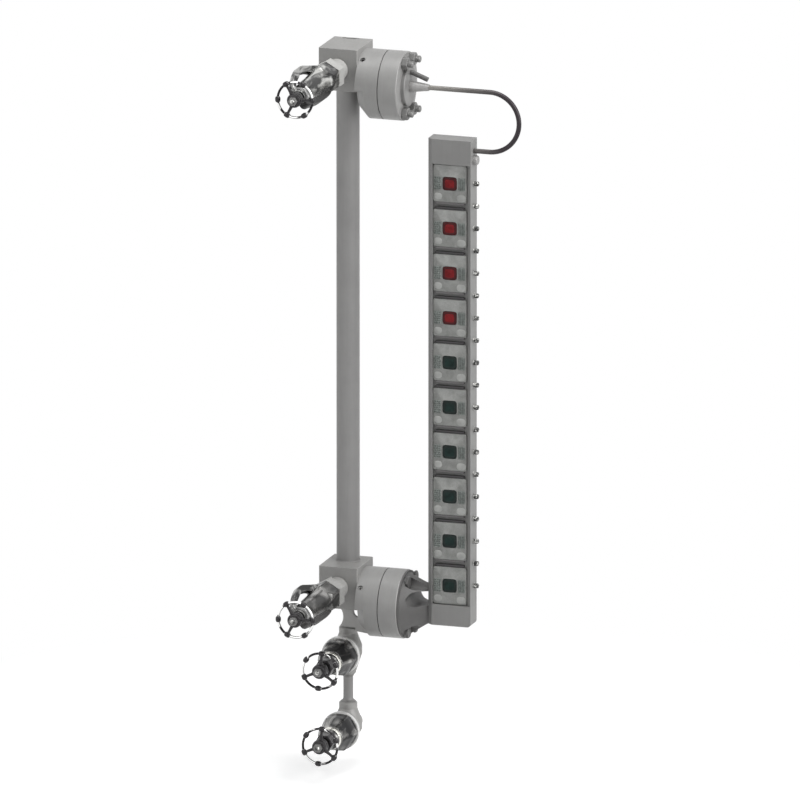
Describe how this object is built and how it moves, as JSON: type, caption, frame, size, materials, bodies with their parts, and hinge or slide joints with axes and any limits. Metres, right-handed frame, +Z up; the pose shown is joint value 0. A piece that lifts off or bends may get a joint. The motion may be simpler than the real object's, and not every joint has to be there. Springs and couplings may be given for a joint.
{
  "type": "bicolor level gauge",
  "caption": "Port-type bicolor level gauge for a steam drum: lit cells show red for steam and green for water, with isolation and drain valves.",
  "frame": {"origin": "centre of the lower process socket's mouth, on the back face of the lower block", "axes": "+Z up along the column; +Y out of the process sockets towards the boiler drum, so the operator stands on the -Y side; +X to the operator's right, from the blocks to the gauge body"},
  "size_m": [0.334, 0.3385, 1.1847],
  "materials": {
    "forged_steel": "satin",
    "column_steel": "satin",
    "ring_steel": "satin",
    "fastener_steel": "bright",
    "tube_steel": "satin",
    "dark_steel": "satin",
    "neck_steel": "satin",
    "polished_steel": "polished",
    "gauge_paint": "satin",
    "cover_paint": "satin",
    "pane": "gloss",
    "pad": "textured",
    "bar": "satin",
    "red_lens": "gloss",
    "green_lens": "gloss",
    "port_glass": "clear",
    "board": "matte",
    "graphite": "matte"
  },
  "bodies": {
    "gauge": {"back_cover": "cover_paint", "brace_plate": "ring_steel", "cell_panes": "pane", "column_pipe": "column_steel", "cover_screws": "fastener_steel", "drain_gland_nuts": "dark_steel", "drain_rings": "polished_steel", "drop_pipes": "column_steel", "expansion_tube": "tube_steel", "first_drain_body": "neck_steel", "first_drain_bonnet": "dark_steel", "front_frame": "gauge_paint", "gauge_body": "gauge_paint", "green_lenses": "green_lens", "isolation_gland_nuts": "fastener_steel", "lamp_board": "board", "lower_base_ring": "ring_steel", "lower_block": "forged_steel", "lower_cap_ring": "ring_steel", "lower_end_cover": "dark_steel", "lower_valve_bonnet": "polished_steel", "lower_valve_neck": "neck_steel", "port_glasses": "port_glass", "red_lenses": "red_lens", "ring_bolts": "fastener_steel", "ring_gaskets": "graphite", "ring_set_screws": "dark_steel", "second_drain_body": "neck_steel", "second_drain_bonnet": "dark_steel", "separator_bars": "bar", "side_pads": "pad", "side_plug": "fastener_steel", "side_screws": "fastener_steel", "slot_plug": "fastener_steel", "stem_packings": "graphite", "tube_nut": "fastener_steel", "tube_stay": "dark_steel", "upper_base_ring": "ring_steel", "upper_block": "forged_steel", "upper_cap_ring": "ring_steel", "upper_end_disc": "ring_steel", "upper_valve_bonnet": "polished_steel", "upper_valve_neck": "neck_steel"},
    "upper_isolation_plug": {"upper_valve_plug": "fastener_steel"},
    "upper_isolation_wheel": {"upper_valve_stem": "polished_steel", "upper_handwheel": "polished_steel", "upper_wheel_nut": "fastener_steel"},
    "lower_isolation_plug": {"lower_valve_plug": "fastener_steel"},
    "lower_isolation_wheel": {"lower_valve_stem": "polished_steel", "lower_handwheel": "polished_steel", "lower_wheel_nut": "fastener_steel"},
    "first_drain_plug": {"first_drain_plug": "fastener_steel"},
    "first_drain_wheel": {"first_drain_stem": "polished_steel", "first_drain_handwheel": "polished_steel", "first_drain_wheel_nut": "fastener_steel"},
    "second_drain_plug": {"second_drain_plug": "fastener_steel"},
    "second_drain_wheel": {"second_drain_stem": "polished_steel", "second_drain_handwheel": "polished_steel", "second_drain_wheel_nut": "fastener_steel"}
  },
  "joints": [
    {"name": "upper_isolation_plug_slide", "type": "slide", "parent": "gauge", "child": "upper_isolation_plug", "axis": [0, 1, 0], "range_m": [0, 0.005]},
    {"name": "upper_isolation_wheel_turn", "type": "hinge", "parent": "upper_isolation_plug", "child": "upper_isolation_wheel", "pos_m": [0, -0.306, 0.87], "axis": [0, 1, 0], "range_deg": [0, 900]},
    {"name": "lower_isolation_plug_slide", "type": "slide", "parent": "gauge", "child": "lower_isolation_plug", "axis": [0, 1, 0], "range_m": [0, 0.005]},
    {"name": "lower_isolation_wheel_turn", "type": "hinge", "parent": "lower_isolation_plug", "child": "lower_isolation_wheel", "pos_m": [0, -0.306, 0], "axis": [0, 1, 0], "range_deg": [0, 900]},
    {"name": "first_drain_plug_slide", "type": "slide", "parent": "gauge", "child": "first_drain_plug", "axis": [0, 1, 0], "range_m": [-0.005, 0]},
    {"name": "first_drain_wheel_turn", "type": "hinge", "parent": "first_drain_plug", "child": "first_drain_wheel", "pos_m": [0, -0.178, -0.118], "axis": [0, 1, 0], "range_deg": [-900, 0]},
    {"name": "second_drain_plug_slide", "type": "slide", "parent": "gauge", "child": "second_drain_plug", "axis": [0, 1, 0], "range_m": [-0.005, 0]},
    {"name": "second_drain_wheel_turn", "type": "hinge", "parent": "second_drain_plug", "child": "second_drain_wheel", "pos_m": [0, -0.178, -0.245], "axis": [0, 1, 0], "range_deg": [-900, 0]}
  ],
  "couplings": [
    {"joint": "upper_isolation_plug_slide", "follows": "upper_isolation_wheel_turn", "m_per_rad": 0.00031831},
    {"joint": "lower_isolation_plug_slide", "follows": "lower_isolation_wheel_turn", "m_per_rad": 0.00031831},
    {"joint": "first_drain_plug_slide", "follows": "first_drain_wheel_turn", "m_per_rad": 0.00031831},
    {"joint": "second_drain_plug_slide", "follows": "second_drain_wheel_turn", "m_per_rad": 0.00031831}
  ]
}
